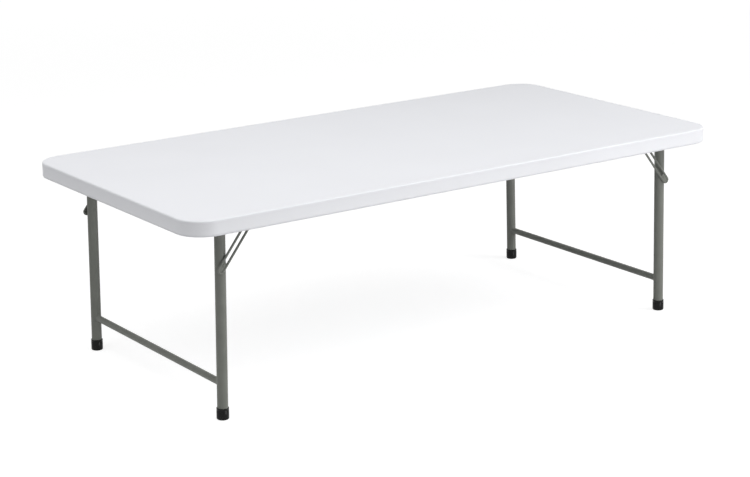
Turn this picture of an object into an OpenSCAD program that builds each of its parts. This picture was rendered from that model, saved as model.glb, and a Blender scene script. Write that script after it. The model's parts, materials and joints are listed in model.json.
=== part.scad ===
// Folding kids table: blow-moulded white top on two folding steel leg frames.
// Millimetres, +Z up. The origin is on the floor under the middle of the table,
// +X runs along the long side and +Y towards the back long side.

/* [Table top] */
// Length of the top along X
table_length = 1524; // [1300:2:1830]
// Depth of the top along Y
table_depth = 762; // [600:2:914]
// Height of the top face above the floor
table_height = 483; // [430:1:560]
// Height of the skirt round the edge
skirt_height = 36.5; // [34:0.5:44]
// Thickness of the panel inside the skirt
panel_thickness = 18; // [15:0.5:19]
// Thickness of the hollow-moulded rim behind the skirt
rim_width = 28; // [22:1:34]
// Corner radius of the top in plan
corner_radius = 68; // [50:1:90]
// Rounding of the upper edge
top_edge_round = 4; // [2:0.5:6]
// Rounding of the lower edge
low_edge_round = 2.5; // [1:0.5:4]
// Wall of the hollow moulding
skin = 2.5; // [2:0.1:3.5]

/* [Moulded dimples] */
// Pitch of the kiss-off dimples in the underside
dimple_pitch = 100; // [80:5:140]
// Diameter of a dimple at its mouth
dimple_mouth_d = 24; // [16:1:30]
// Diameter of a dimple at its bottom
dimple_floor_d = 16; // [10:1:20]
// Clear strip between the dimples and the steelwork round them
dimple_border = 42; // [36:2:70]

/* [Leg frames] */
// Distance from the end of the top to a frame's hinge axis
hinge_inset = 115; // [100:1:200]
// Outward lean of an open frame, in degrees
leg_splay = 1.2; // [0.6:0.1:2]
// Diameter of the leg and hinge tubes
tube_d = 25; // [22:0.5:26]
// Wall of the leg and hinge tubes
tube_wall = 1.5; // [1:0.1:2.5]
// Diameter of the low bar
bar_d = 16; // [12:0.5:20]
// Wall of the low bar
bar_wall = 1.2; // [0.8:0.1:2]
// Height of the low bar above the floor
bar_height = 83; // [60:1:160]

/* [Foot caps and tube plugs] */
// Wall of a foot cap round its tube
cap_wall = 1.8; // [1.2:0.1:3]
// Height of a foot cap
cap_height = 27; // [20:1:40]
// Thickness of a foot cap under its tube
cap_floor = 4; // [3:0.5:6]
// Rounding of a foot cap's lower edge
cap_round = 3; // [1.5:0.5:3.5]
// Thickness of a plug's flange
plug_flange = 1.2; // [0.8:0.1:2]
// Depth of a plug inside its tube
plug_depth = 12; // [8:1:20]

/* [Hinge straps] */
// Width of a strap along the hinge tube
strap_width = 24; // [18:1:32]
// Thickness of the pressed strap
strap_thickness = 2; // [1.5:0.1:3]
// Gap along the hinge tube between a strap and the leg
strap_to_leg = 15.5; // [8:0.5:40]
// Length of a strap's ear
strap_ear = 18; // [15:0.5:24]

/* [Side rails] */
// Width of a rail's flange on the underside of the panel
rail_flange = 24; // [18:0.5:28]
// Depth of a rail's web below the panel
rail_web = 17; // [14:0.5:18]
// Sheet thickness of a rail
rail_sheet = 2; // [1.5:0.1:2.5]
// Gap between a rail and the rim
rail_to_rim = 8; // [4:0.5:12]
// Gap along X between a hinge axis and the end of a rail
rail_to_hinge = 45; // [35:1:52]
// Steel left round the guide slot
slot_margin = 5; // [4:0.5:7]
// Gap between a rail's web and the brace beside it
rail_to_brace = 0.75; // [0.5:0.05:1.2]
// Distance from a rail's end to its last screw
rail_screw_inset = 17; // [12:1:40]

/* [Braces] */
// Diameter of the brace rod
rod_d = 5.5; // [4.5:0.1:6]
// Distance between the centres of the two rods of a brace
rod_pitch = 13.5; // [12:0.5:15]
// Distance along the leg from the hinge axis to the brace's pivot
pivot_drop = 94; // [80:1:100]
// Distance from the pivot to the centre of the brace's lower bend
brace_tail = 12; // [10:0.5:24]
// Rise of an open brace above the horizontal, in degrees
brace_angle = 52; // [48:0.5:58]
// Rise of a folded brace above the horizontal, in degrees
brace_flat_angle = 0.25; // [0:0.05:1]
// Depth of the guide pin's axis below the panel when open
pin_drop = 12.5; // [12:0.1:14]
// Diameter of the guide pin
pin_d = 5; // [4:0.1:5.5]
// Diameter of the guide pin's head behind the rail
pin_head_d = 9; // [7.5:0.1:10]
// Thickness of the guide pin's head
pin_head_h = 1.5; // [1:0.1:2.5]
// Diameter of the rivet's shank at the brace's pivot
rivet_d = 4; // [3:0.1:4.5]
// Thickness of the rivet's two heads
rivet_head_h = 1.4; // [0.8:0.1:1.5]
// Diameter of the rivet's tail head inside the frame
rivet_tail_d = 8; // [6:0.5:11]
// Thickness of the plates welded between the rods
plate_thickness = 2; // [1.5:0.1:2.4]
// Length of the pivot plate beyond the pivot, and of the lug before the guide pin
plate_reach = 4; // [3:0.5:20]

/* [Screws] */
// Diameter of a screw's shank
screw_d = 4.2; // [3.5:0.1:5]
// Diameter of a screw's head
screw_head_d = 8.5; // [7:0.1:10]
// Height of a screw's head
screw_head_h = 2.2; // [1.6:0.1:3]
// Length of a screw below its head
screw_length = 12; // [9:0.5:13]
// Length of one arm pair of a head's cross recess
recess_length = 5; // [4:0.1:6]
// Width of a cross recess's arm
recess_width = 1.2; // [0.8:0.1:1.6]
// Depth of a cross recess
recess_depth = 1.1; // [0.6:0.1:1.4]
// Screws along each side rail
rail_screw_count = 5; // [3:1:9]

/* [Fits] */
// Radial clearance of a running fit
run_fit = 0.06; // [0.02:0.01:0.1]
// Gap between pieces that are pressed or welded together
seat_gap = 0.02; // [0.01:0.01:0.05]
// Clearance between neighbours that pass each other
pass_gap = 0.3; // [0.2:0.05:0.5]
// End play of a pivot plate on its rivet
plate_gap = 0.1; // [0.05:0.01:0.2]

/* [Hidden] */
$fn = 64;

// How far a cut runs past the surface that it opens
cut_past = 1;

white = "#f1f2f4";
steel_grey = "#85877f";
zinc = "#b9bbbd";
black = "#1b1b1b";

// The fold: a frame turns fold_angle while its braces turn brace_turn against it.
fold_angle = 90.8;
brace_turn = brace_angle + fold_angle - brace_flat_angle;

// Levels, and the hinge axis of a frame
panel_under = table_height - panel_thickness;
hinge_x = table_length / 2 - hinge_inset;
hinge_z = panel_under - pass_gap - tube_d / 2;
tube_r = tube_d / 2;

// Stack along Y from the rim inwards: rail, brace, leg
rim_inner_y = table_depth / 2 - rim_width;
web_y = rim_inner_y - rail_to_rim - rail_flange;
brace_y = web_y - rail_to_brace - rod_d / 2;
leg_y = brace_y - rod_d / 2 - pass_gap - tube_r;

// Leg frame, measured along the leaning leg from the hinge axis
floor_drop = hinge_z / cos(leg_splay);
leg_length = floor_drop - cap_floor;
bar_drop = (hinge_z - bar_height) / cos(leg_splay);
cap_r = tube_r + run_fit + cap_wall;
foot_x = hinge_x + floor_drop * sin(leg_splay);

// Brace: the pivot on the leg, the guide pin in the rail, and the path of the pin
pivot_x = hinge_x + pivot_drop * sin(leg_splay);
pivot_z = hinge_z - pivot_drop * cos(leg_splay);
pin_z = panel_under - pin_drop;
brace_length = (pin_z - pivot_z) / sin(brace_angle);
plate_half = (rod_pitch - rod_d) / 2 - seat_gap;
path_steps = 30;
path_delta = 0.005;

// Position of the guide pin, as [distance inboard of the hinge axis, height],
// when the frame has made the share t of its fold
function leg_dir(t) = -90 - leg_splay + fold_angle * t;
function brace_dir(t) = brace_angle + (fold_angle - brace_turn) * t;
function pin_path(t) = [
    pivot_drop * cos(leg_dir(t)) + brace_length * cos(brace_dir(t)),
    hinge_z + pivot_drop * sin(leg_dir(t)) + brace_length * sin(brace_dir(t))
];

// Unit normal of that path, pointing to its lower, inboard side
function path_step(t) = pin_path(t + path_delta) - pin_path(t - path_delta);
function path_normal(t) = [path_step(t)[1], -path_step(t)[0]] / norm(path_step(t));

// Points beside the path at a given distance, from the open to the folded end
function beside_path(gap) =
    [for (i = [0:path_steps]) pin_path(i / path_steps) + path_normal(i / path_steps) * gap];
function reversed(list) = [for (i = [len(list) - 1:-1:0]) list[i]];

slot_r = pin_d / 2 + pass_gap;
ear_r = slot_r + slot_margin;
rail_end_x = hinge_x - rail_to_hinge;
flange_mid_y = web_y + rail_flange / 2;
strap_y = leg_y - tube_r - strap_to_leg - strap_width / 2;
strap_r = tube_r + run_fit;
strap_out_r = strap_r + strap_thickness;
strap_screw_x = strap_out_r + strap_ear / 2;
rail_screw_end = rail_end_x - rail_screw_inset;

// Field of dimples between the leg frames and the rails
dimple_columns = floor(2 * (hinge_x - dimple_border) / dimple_pitch);
dimple_rows = floor(2 * (web_y - dimple_border) / dimple_pitch);

// Draws a piece made for the back right quarter in any of the four quarters
module quarter(side, face) {
    mirror([side < 0 ? 1 : 0, 0, 0])
        mirror([0, face < 0 ? 1 : 0, 0])
            children();
}

// Axes of an open leg frame: origin on the hinge axis, -Z down the leaning leg
module leg_frame() {
    translate([hinge_x, 0, hinge_z]) rotate([0, -leg_splay, 0]) children();
}

// Axes of an open brace: origin on the pivot, +X towards the guide pin
module brace_frame() {
    translate([pivot_x, brace_y, pivot_z]) rotate([0, 180 + brace_angle, 0]) children();
}

// Cylinder along Y from y0 to y1
module rod_y(d, y0, y1) {
    translate([0, y1, 0]) rotate([90, 0, 0]) cylinder(d = d, h = y1 - y0);
}

// Section of the top's edge: r runs outwards, and the outer corners are rounded
module edge_section(reach) {
    difference() {
        square([reach, skirt_height]);
        translate([reach - top_edge_round, skirt_height - top_edge_round])
            difference() {
                square(top_edge_round + cut_past);
                circle(r = top_edge_round);
            }
        translate([reach - low_edge_round, -cut_past])
            difference() {
                square(low_edge_round + cut_past);
                translate([0, low_edge_round + cut_past]) circle(r = low_edge_round);
            }
    }
}

// Slab across the top between two rounded edges, along X and of the given length
module slab(across, length) {
    for (side = [0, 1])
        mirror([0, side, 0])
            rotate([90, 0, 90])
                linear_extrude(height = length, center = true)
                    edge_section(across / 2);
}

module rounded_plan(length, depth, r) {
    square([length - 2 * r, depth], center = true);
    square([length, depth - 2 * r], center = true);
    for (x = [-1, 1], y = [-1, 1])
        translate([x * (length / 2 - r), y * (depth / 2 - r)]) circle(r = r);
}

// Dimple pressed up from the underside until it meets the upper skin
module dimple(wall) {
    depth = panel_thickness - 2 * skin;
    cylinder(d1 = dimple_mouth_d + 2 * wall, d2 = dimple_floor_d + 2 * wall, h = depth + wall);
}

module dimple_places() {
    for (i = [0:dimple_columns], j = [0:dimple_rows])
        translate([
            (i - dimple_columns / 2) * dimple_pitch,
            (j - dimple_rows / 2) * dimple_pitch,
            panel_under
        ]) children();
}

// Open space under the panel inside the rim; wall widens it to the moulding's inner face
module recess(wall) {
    translate([0, 0, panel_under + wall - skirt_height])
        linear_extrude(height = skirt_height)
            rounded_plan(
                table_length - 2 * rim_width + 2 * wall,
                table_depth - 2 * rim_width + 2 * wall,
                corner_radius - rim_width + wall
            );
}

// Sealed air space between the upper and lower skins, with a post at each dimple and screw
module air_space() {
    difference() {
        translate([0, 0, table_height - skirt_height + skin])
            linear_extrude(height = skirt_height - 2 * skin)
                rounded_plan(table_length - 2 * skin, table_depth - 2 * skin, corner_radius - skin);
        recess(skin);
        dimple_places() dimple(skin);
        rail_screw_places() cylinder(d = screw_d + 2 * skin, h = panel_thickness);
        strap_screw_places() cylinder(d = screw_d + 2 * skin, h = panel_thickness);
    }
}

module table_top() {
    corner_x = table_length / 2 - corner_radius;
    corner_y = table_depth / 2 - corner_radius;
    color(white) difference() {
        translate([0, 0, table_height - skirt_height]) union() {
            slab(table_depth, 2 * corner_x);
            rotate([0, 0, 90]) slab(table_length, 2 * corner_y);
            for (side = [-1, 1], face = [-1, 1])
                quarter(side, face)
                    translate([corner_x, corner_y, 0])
                        rotate_extrude(angle = 90) edge_section(corner_radius);
        }
        recess(0);
        air_space();
        dimple_places() dimple(0);
        rail_screw_places() pilot_hole();
        strap_screw_places() pilot_hole();
    }
}

// Screws stand head down, with z = 0 on the underside of the panel
module pilot_hole() {
    translate([0, 0, -cut_past])
        cylinder(d = screw_d + 2 * run_fit, h = screw_length + cut_past);
}

module clear_hole(sheet) {
    translate([0, 0, -sheet - cut_past])
        cylinder(d = screw_d + 2 * pass_gap, h = sheet + 2 * cut_past);
}

module screw(sheet) {
    difference() {
        union() {
            translate([0, 0, -sheet - screw_head_h]) cylinder(d = screw_head_d, h = screw_head_h);
            translate([0, 0, -sheet]) cylinder(d = screw_d, h = screw_length - seat_gap);
        }
        for (turn = [0, 90])
            rotate([0, 0, turn])
                translate([0, 0, -sheet - screw_head_h])
                    cube([recess_length, recess_width, 2 * recess_depth], center = true);
    }
}

module rail_screw_places() {
    for (face = [-1, 1], i = [0:rail_screw_count - 1])
        translate([
            rail_screw_end * (2 * i / (rail_screw_count - 1) - 1),
            face * flange_mid_y,
            panel_under
        ]) children();
}

module strap_screw_places() {
    for (side = [-1, 1], face = [-1, 1], ear = [-1, 1])
        translate([side * hinge_x + ear * strap_screw_x, face * strap_y, panel_under]) children();
}

// Rail web in elevation: a strip under the panel with a deeper ear round each guide slot
module rail_web_shape() {
    translate([-rail_end_x, panel_under - rail_web]) square([2 * rail_end_x, rail_web]);
    for (side = [-1, 1]) scale([side, 1]) {
        lower = beside_path(ear_r);
        upper = [[lower[path_steps][0], panel_under], [lower[0][0], panel_under]];
        guide_shape(concat(lower, upper), ear_r);
    }
}

// Outline in the hinge's measure, drawn in the table's, with a disc at each end of the path
module guide_shape(outline, r) {
    polygon([for (p = outline) [hinge_x - p[0], p[1]]]);
    for (t = [0, 1]) translate([hinge_x - pin_path(t)[0], pin_path(t)[1]]) circle(r = r);
}

module slot_shape() {
    guide_shape(concat(beside_path(slot_r), reversed(beside_path(-slot_r))), slot_r);
}

module side_rail(face) {
    color(steel_grey) mirror([0, face < 0 ? 1 : 0, 0]) difference() {
        union() {
            translate([0, web_y + rail_sheet, 0])
                rotate([90, 0, 0])
                    linear_extrude(height = rail_sheet)
                        difference() {
                            rail_web_shape();
                            for (side = [-1, 1]) scale([side, 1]) slot_shape();
                        }
            translate([-rail_end_x, web_y, panel_under - rail_sheet])
                cube([2 * rail_end_x, rail_flange, rail_sheet]);
        }
        rail_screw_places() clear_hole(rail_sheet);
    }
}

module rail_screws() {
    color(zinc) rail_screw_places() screw(rail_sheet);
}

// Strap in section: half round under the hinge tube, straight sides and two flat ears
module strap_section() {
    drop = panel_under - hinge_z;
    difference() {
        union() {
            circle(r = strap_out_r);
            translate([-strap_out_r, 0]) square([2 * strap_out_r, drop]);
            translate([-strap_out_r - strap_ear, drop - strap_thickness])
                square([2 * (strap_out_r + strap_ear), strap_thickness]);
        }
        circle(r = strap_r);
        translate([-strap_r, 0]) square([2 * strap_r, drop + cut_past]);
        translate([-strap_out_r, drop]) square([2 * strap_out_r, strap_out_r]);
    }
}

module hinge_strap(side, face) {
    color(steel_grey) quarter(side, face) difference() {
        translate([hinge_x, strap_y + strap_width / 2, hinge_z])
            rotate([90, 0, 0])
                linear_extrude(height = strap_width) strap_section();
        for (ear = [-1, 1])
            translate([hinge_x + ear * strap_screw_x, strap_y, panel_under])
                clear_hole(strap_thickness);
    }
}

module strap_screws() {
    color(zinc) strap_screw_places() screw(strap_thickness);
}

module hinge_tube(side) {
    half = leg_y + tube_r;
    color(steel_grey) quarter(side, 1) leg_frame() difference() {
        rod_y(tube_d, -half, half);
        rod_y(tube_d - 2 * tube_wall, -half - cut_past, half + cut_past);
    }
}

module tube_plugs(side) {
    end = leg_y + tube_r;
    color(black) for (face = [-1, 1]) quarter(side, face) leg_frame() {
        rod_y(tube_d - 2 * tube_wall - 2 * seat_gap, end - plug_depth, end);
        rod_y(tube_d - tube_wall, end, end + plug_flange);
    }
}

module leg_tube(side, face) {
    color(steel_grey) quarter(side, face) leg_frame() difference() {
        translate([0, leg_y, -leg_length]) cylinder(d = tube_d, h = leg_length);
        translate([0, leg_y, -leg_length - cut_past])
            cylinder(d = tube_d - 2 * tube_wall, h = leg_length + 2 * cut_past);
        rod_y(tube_d + 2 * seat_gap, leg_y - tube_d, leg_y + tube_d);
        translate([0, 0, -pivot_drop])
            rod_y(rivet_d + 2 * seat_gap, leg_y - tube_d, leg_y + tube_d);
    }
}

module low_bar(side) {
    color(steel_grey) quarter(side, 1) leg_frame() difference() {
        translate([0, 0, -bar_drop]) rod_y(bar_d, -leg_y, leg_y);
        translate([0, 0, -bar_drop]) rod_y(bar_d - 2 * bar_wall, -leg_y, leg_y);
        for (face = [-1, 1])
            translate([0, face * leg_y, -bar_drop - bar_d])
                cylinder(d = tube_d + 2 * seat_gap, h = 2 * bar_d);
    }
}

module cap_section() {
    difference() {
        square([cap_r, cap_height]);
        translate([cap_r - cap_round, -cut_past])
            difference() {
                square(cap_round + cut_past);
                translate([0, cap_round + cut_past]) circle(r = cap_round);
            }
    }
}

// Cap over the end of a leg, its sole cut level with the floor
module foot_cap(side, face) {
    sole_extra = cap_r * tan(leg_splay);
    color(black) quarter(side, face) difference() {
        leg_frame() translate([0, leg_y, -floor_drop - sole_extra]) difference() {
            rotate_extrude() cap_section();
            translate([0, 0, cap_floor + sole_extra])
                cylinder(r = tube_r + run_fit, h = cap_height);
        }
        translate([foot_x - 2 * cap_r, leg_y - 2 * cap_r, -cap_height])
            cube([4 * cap_r, 4 * cap_r, cap_height]);
    }
}

// Stepped rivet through a leg: tail head, shank, collar under the plate, outer head
module pivot_rivets(side) {
    plate_in = brace_y - plate_thickness / 2;
    plate_out = brace_y + plate_thickness / 2;
    collar_d = 2 * plate_half - 2 * pass_gap;
    tail_face = leg_y - tube_r;
    color(steel_grey) for (face = [-1, 1])
        quarter(side, face) leg_frame() translate([0, 0, -pivot_drop]) {
            rod_y(rivet_d, tail_face - rivet_head_h, plate_out + plate_gap);
            rod_y(rivet_tail_d, tail_face - rivet_head_h, tail_face);
            rod_y(collar_d, leg_y + tube_r, plate_in - plate_gap);
            rod_y(collar_d, plate_out + plate_gap, plate_out + plate_gap + rivet_head_h);
        }
}

// Closed loop of round rod: two straights and a half-round bend at each end
module brace_rod(side, face) {
    color(steel_grey) quarter(side, face) brace_frame() {
        for (s = [-1, 1])
            translate([-brace_tail, 0, s * rod_pitch / 2])
                rotate([0, 90, 0]) cylinder(d = rod_d, h = brace_tail + brace_length);
        translate([brace_length, 0, 0]) rod_bend(-90);
        translate([-brace_tail, 0, 0]) rod_bend(90);
    }
}

module rod_bend(turn) {
    rotate([90, 0, 0]) rotate([0, 0, turn])
        rotate_extrude(angle = 180) translate([rod_pitch / 2, 0]) circle(d = rod_d);
}

// Plate between the rods from x0 to x1, with round ends and a hole at hole_x
module rod_plate(x0, x1, hole_x, hole_d) {
    rotate([90, 0, 0])
        linear_extrude(height = plate_thickness, center = true)
            difference() {
                union() {
                    translate([x0, -plate_half]) square([x1 - x0, 2 * plate_half]);
                    for (x = [x0, x1]) translate([x, 0]) circle(r = plate_half);
                }
                translate([hole_x, 0]) circle(d = hole_d);
            }
}

module pivot_plate(side, face) {
    color(steel_grey) quarter(side, face) brace_frame()
        rod_plate(-brace_tail, plate_reach, 0, rivet_d + 2 * run_fit);
}

module guide_lug(side, face) {
    color(steel_grey) quarter(side, face) brace_frame()
        rod_plate(brace_length - plate_reach, brace_length, brace_length, pin_d + 2 * seat_gap);
}

// Pin through the lug and the rail's slot, headed behind the web
module guide_pin(side, face) {
    web_out = web_y + rail_sheet - brace_y;
    color(zinc) quarter(side, face) brace_frame() translate([brace_length, 0, 0]) {
        rod_y(pin_d, -plate_thickness / 2, web_out + pass_gap);
        rod_y(pin_head_d, web_out + pass_gap, web_out + pass_gap + pin_head_h);
    }
}

table_top();
side_rail(-1);  // side_rail_front
side_rail(1);  // side_rail_back
rail_screws();
hinge_strap(-1, -1);  // hinge_strap_fl
hinge_strap(-1, 1);  // hinge_strap_bl
hinge_strap(1, -1);  // hinge_strap_fr
hinge_strap(1, 1);  // hinge_strap_br
strap_screws();
hinge_tube(-1);  // hinge_tube_left
hinge_tube(1);  // hinge_tube_right
tube_plugs(-1);  // tube_plugs_left
tube_plugs(1);  // tube_plugs_right
leg_tube(-1, -1);  // leg_tube_fl
leg_tube(-1, 1);  // leg_tube_bl
leg_tube(1, -1);  // leg_tube_fr
leg_tube(1, 1);  // leg_tube_br
low_bar(-1);  // low_bar_left
low_bar(1);  // low_bar_right
foot_cap(-1, -1);  // foot_cap_fl
foot_cap(-1, 1);  // foot_cap_bl
foot_cap(1, -1);  // foot_cap_fr
foot_cap(1, 1);  // foot_cap_br
pivot_rivets(-1);  // pivot_rivets_left
pivot_rivets(1);  // pivot_rivets_right
brace_rod(-1, -1);  // brace_rod_fl
brace_rod(-1, 1);  // brace_rod_bl
brace_rod(1, -1);  // brace_rod_fr
brace_rod(1, 1);  // brace_rod_br
pivot_plate(-1, -1);  // pivot_plate_fl
pivot_plate(-1, 1);  // pivot_plate_bl
pivot_plate(1, -1);  // pivot_plate_fr
pivot_plate(1, 1);  // pivot_plate_br
guide_lug(-1, -1);  // guide_lug_fl
guide_lug(-1, 1);  // guide_lug_bl
guide_lug(1, -1);  // guide_lug_fr
guide_lug(1, 1);  // guide_lug_br
guide_pin(-1, -1);  // guide_pin_fl
guide_pin(-1, 1);  // guide_pin_bl
guide_pin(1, -1);  // guide_pin_fr
guide_pin(1, 1);  // guide_pin_br
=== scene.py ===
"""Looks of the folding kids table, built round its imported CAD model.

Every length is in metres, in the CAD model's frame: the origin on the floor under the
middle of the table, +X along the long side, +Y to the back and +Z up.
"""

import json
import math

import bmesh
import bpy
from mathutils import Matrix, Vector


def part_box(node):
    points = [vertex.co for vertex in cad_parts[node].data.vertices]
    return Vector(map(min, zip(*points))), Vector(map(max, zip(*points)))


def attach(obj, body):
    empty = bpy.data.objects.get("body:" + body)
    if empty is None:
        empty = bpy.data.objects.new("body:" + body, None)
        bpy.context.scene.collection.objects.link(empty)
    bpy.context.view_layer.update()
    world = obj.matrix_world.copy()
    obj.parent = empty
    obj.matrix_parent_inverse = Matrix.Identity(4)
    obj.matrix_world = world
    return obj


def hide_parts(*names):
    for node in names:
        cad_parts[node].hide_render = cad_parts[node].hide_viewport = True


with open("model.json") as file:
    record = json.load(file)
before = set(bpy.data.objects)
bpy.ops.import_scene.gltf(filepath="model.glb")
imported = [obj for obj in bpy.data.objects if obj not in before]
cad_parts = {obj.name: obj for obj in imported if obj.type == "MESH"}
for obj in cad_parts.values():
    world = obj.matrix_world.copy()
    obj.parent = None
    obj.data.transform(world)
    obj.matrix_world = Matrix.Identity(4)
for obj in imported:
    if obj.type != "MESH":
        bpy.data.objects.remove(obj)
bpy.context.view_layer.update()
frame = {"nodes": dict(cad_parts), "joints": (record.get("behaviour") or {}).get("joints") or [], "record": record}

bl_info = {
    "name": "Folding kids table",
    "version": (1, 0, 0),
    "blender": (4, 5, 0),
    "location": "3D View > Sidebar > Kids table",
    "description": "Builds the visible pieces and finishes of a folding kids table",
    "category": "Object",
}

JOINTS = {joint["name"]: joint for joint in frame["joints"]}
MM = 0.001
# Points closer than this are one point
SAME_POINT = 1e-6

# Each frame with the sign of its side in X, and each corner's letter with its sign in Y
SIDES = {"left": -1, "right": 1}
FACES = {"f": -1, "b": 1}


def linear(code):
    """A hex sRGB colour as the linear colour that Blender's nodes take."""
    parts = [int(code[i : i + 2], 16) / 255 for i in (1, 3, 5)]
    return [c / 12.92 if c <= 0.04045 else ((c + 0.055) / 1.055) ** 2.4 for c in parts]


def number(name, description, default, unit="NONE"):
    return bpy.props.FloatProperty(
        name=name, description=description, default=default, min=0.0, unit=unit, precision=5
    )


def length(name, description, millimetres):
    return number(name, description, millimetres * MM, "LENGTH")


def count(name, description, default):
    return bpy.props.IntProperty(name=name, description=description, default=default, min=1)


def colour(name, description, code):
    return bpy.props.FloatVectorProperty(
        name=name, description=description, default=linear(code), min=0.0, max=1.0, subtype="COLOR"
    )


# Sizes that the pieces take from the CAD model
TOP_LOW, TOP_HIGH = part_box("table_top")
PANEL_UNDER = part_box("side_rail_front")[1].z
TUBE_LOW, TUBE_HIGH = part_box("hinge_tube_right")
TUBE_RADIUS = (TUBE_HIGH.z - TUBE_LOW.z) / 2
TUBE_END = TUBE_HIGH.y
LEG_Y = TUBE_END - TUBE_RADIUS
BAR_LOW, BAR_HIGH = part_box("low_bar_right")
BAR_RADIUS = (BAR_HIGH.z - BAR_LOW.z) / 2
HINGE = Vector(JOINTS["right_frame_fold"]["pos_m"])
FOOT = next(m for m in frame["record"]["mounts"] if m["name"] == "foot_br")["pos_m"]
SPLAY = math.atan2(FOOT[0] - HINGE.x, HINGE.z)
LEG_DROP = HINGE.z / math.cos(SPLAY)
BAR_DROP = (HINGE.z - (BAR_LOW.z + BAR_HIGH.z) / 2) / math.cos(SPLAY)


class KidsTableTop(bpy.types.PropertyGroup):
    """Sizes and colour of the moulded top."""

    corner_radius: length("Corner radius", "Radius of the top's corners in plan", 68)
    upper_round: length("Upper edge", "Rounding of the upper edge", 4)
    lower_round: length("Lower edge", "Rounding of the skirt's lower edge", 3.5)
    rim_width: length("Rim width", "Width of the hollow rim behind the skirt", 28)
    rim_draft: length("Rim draft", "Lean of the rim's inner face", 1)
    inner_round: length("Inner fillet", "Fillets on the rim's inner face", 3.5)
    parting: length("Parting line", "Height of the parting line above the lower edge", 5)
    parting_proud: length("Parting ridge", "How far the parting line stands out", 0.25)
    parting_foot: length("Parting foot", "Half the width of the parting line's foot", 1)
    parting_crest: length("Parting crest", "Half the width of the parting line's crest", 0.4)
    dimple_pitch: length("Dimple pitch", "Distance between the dimples", 100)
    dimple_columns: count("Dimple columns", "Dimples along the top", 13)
    dimple_rows: count("Dimple rows", "Dimples across the top", 6)
    dimple_mouth: length("Dimple mouth", "Diameter of a dimple at the panel", 24)
    dimple_floor: length("Dimple floor", "Diameter of a dimple at its bottom", 16)
    dimple_depth: length("Dimple depth", "Depth of a dimple", 13)
    dimple_lip: length("Dimple lip", "Rounding at a dimple's mouth and bottom", 2)
    plastic: colour("Plastic", "Colour of the moulded plastic", "#eeeff3")


class KidsTableSteel(bpy.types.PropertyGroup):
    """Sizes and colour of the tubes, pressed steel, welds and braces."""

    tube_wall: length("Tube wall", "Wall of the leg and hinge tubes", 1.5)
    bar_wall: length("Bar wall", "Wall of the low bars", 1.2)
    edge_ease: length("Edge easing", "Rounding on the edges of the pressed steel", 0.35)
    bead: length("Weld bead", "Radius of the weld beads on the frames", 1.5)
    fine_bead: length("Fine bead", "Radius of the weld beads on the braces", 0.8)
    ripple: length("Weld ripple", "Distance between the ripples of a weld", 2.2)
    rod: length("Rod", "Diameter of the brace rod", 5.5)
    rod_pitch: length("Rod pitch", "Distance between the two rods of a brace", 13.5)
    brace_tail: length("Brace tail", "Length of a brace beyond its pivot", 12)
    plate_reach: length("Plate reach", "Length of a plate inside its end of the brace", 4)
    plate: length("Plate", "Thickness of the plates between the rods", 2)
    plate_ease: length("Plate easing", "Rounding on the edges of those plates", 0.25)
    plate_bite: length("Plate bite", "How far a plate reaches into each rod", 0.15)
    pivot_hole: length("Pivot hole", "Diameter of the hole round the rivet", 4.12)
    weld_clear: length("Weld clearance", "Distance from the pivot to the nearest weld", 5.2)
    coat: colour("Powder coat", "Colour of the powder coat", "#82847e")


class KidsTableFasteners(bpy.types.PropertyGroup):
    """Sizes and colour of the screws, rivets and pins."""

    head: length("Screw head", "Diameter of a screw's head", 8.5)
    head_height: length("Head height", "Height of a screw's head", 2.2)
    shank: length("Shank", "Diameter of a screw's shank", 4.2)
    shank_length: length("Shank length", "Length of a screw below its head", 12)
    recess: length("Recess", "Length of the cross recess", 5)
    recess_width: length("Recess width", "Width of a recess's arm", 1.2)
    recess_depth: length("Recess depth", "Depth of the cross recess", 1.1)
    sheet: length("Sheet", "Steel under a screw's head", 2)
    rivet_head: length("Rivet head", "Thickness of a rivet's heads", 1.4)
    pin_head: length("Pin head", "Thickness of a guide pin's head", 1.5)
    seed: count("Seed", "Seed for how the screws are turned", 7)
    zinc: colour("Zinc", "Colour of the zinc plating", "#c2c4c5")


class KidsTableCaps(bpy.types.PropertyGroup):
    """Sizes and colours of the foot caps and tube plugs."""

    cap_height: length("Cap height", "Height of a foot cap", 27)
    cap_wall: length("Cap wall", "Wall of a foot cap round its tube", 1.86)
    cap_ease: length("Cap easing", "Gap between a foot cap and its tube", 0.06)
    cap_ledge: length("Cap ledge", "Width of the ledge that the tube stands on", 2)
    cap_floor: length("Cap floor", "Thickness of a cap under its tube", 4)
    cap_round: length("Cap rounding", "Rounding of a cap's lower edge", 3)
    cap_lip: length("Cap lip", "Rounding of a cap's upper lip", 0.7)
    plug_flange: length("Plug flange", "Thickness of a plug's flange", 1.2)
    plug_depth: length("Plug depth", "Depth of a plug inside its tube", 12)
    plug_ease: length("Plug easing", "Gap between a plug and its tube", 0.02)
    rubber: colour("Cap", "Colour of the foot caps", "#0c0c0c")
    plug: colour("Plug", "Colour of the tube plugs", "#1c1c1d")


class KidsTableStage(bpy.types.PropertyGroup):
    """Floor, lamps and camera."""

    floor_size: length("Floor", "Side of the floor", 60000)
    ambient: number("Ambient", "Strength of the light from all round", 0.20)
    key: number("Key lamp", "Power of the lamp high up in front", 21.0, "POWER")
    upper: number("Upper lamp", "Power of the lamp above the left end", 26.0, "POWER")
    left: number("Left lamp", "Power of the lamp on the left", 14.0, "POWER")
    front: number("Front lamp", "Power of the low lamp in front", 25.5, "POWER")
    right: number("Right lamp", "Power of the lamp on the right", 54.0, "POWER")
    lens: number("Lens", "Focal length of the camera", 95.05, "CAMERA")


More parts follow.
